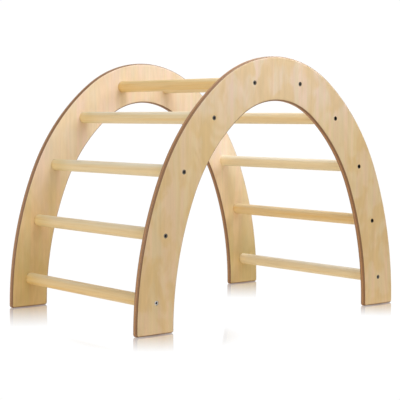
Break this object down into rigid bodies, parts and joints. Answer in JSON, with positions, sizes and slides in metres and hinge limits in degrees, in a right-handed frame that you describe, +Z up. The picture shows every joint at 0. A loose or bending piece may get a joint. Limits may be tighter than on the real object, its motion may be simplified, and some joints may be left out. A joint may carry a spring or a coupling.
{
  "type": "wooden rocker arch",
  "caption": "Children's wooden climbing and rocking arch: two arched plywood side panels joined by round rungs that are bolted between them.",
  "frame": {"origin": "on the floor under the middle of the arch", "axes": "+X along the arch from leg to leg, +Y along the rungs from the front to the rear panel, +Z up"},
  "size_m": [0.8, 0.52, 0.6019],
  "materials": {
    "birch_plywood": "clear-lacquered birch plywood, edges with darker plies",
    "rung_wood": "smooth sanded pale hardwood rod, clear lacquer",
    "bolt_steel": "dark zinc-plated steel",
    "insert_zinc": "yellow zinc-plated threaded insert"
  },
  "bodies": {
    "root": {"front_side_panel": "birch_plywood", "rear_side_panel": "birch_plywood", "rung_1": "rung_wood", "rung_2": "rung_wood", "rung_3": "rung_wood", "rung_4": "rung_wood", "rung_5": "rung_wood", "rung_6": "rung_wood", "rung_7": "rung_wood", "rung_8": "rung_wood", "rung_9": "rung_wood", "rung_10": "rung_wood", "rung_1_inserts": "insert_zinc", "rung_2_inserts": "insert_zinc", "rung_3_inserts": "insert_zinc", "rung_4_inserts": "insert_zinc", "rung_5_inserts": "insert_zinc", "rung_6_inserts": "insert_zinc", "rung_7_inserts": "insert_zinc", "rung_8_inserts": "insert_zinc", "rung_9_inserts": "insert_zinc", "rung_10_inserts": "insert_zinc", "rung_1_bolts": "bolt_steel", "rung_2_bolts": "bolt_steel", "rung_3_bolts": "bolt_steel", "rung_4_bolts": "bolt_steel", "rung_5_bolts": "bolt_steel", "rung_6_bolts": "bolt_steel", "rung_7_bolts": "bolt_steel", "rung_8_bolts": "bolt_steel", "rung_9_bolts": "bolt_steel", "rung_10_bolts": "bolt_steel"}
  },
  "joints": []
}
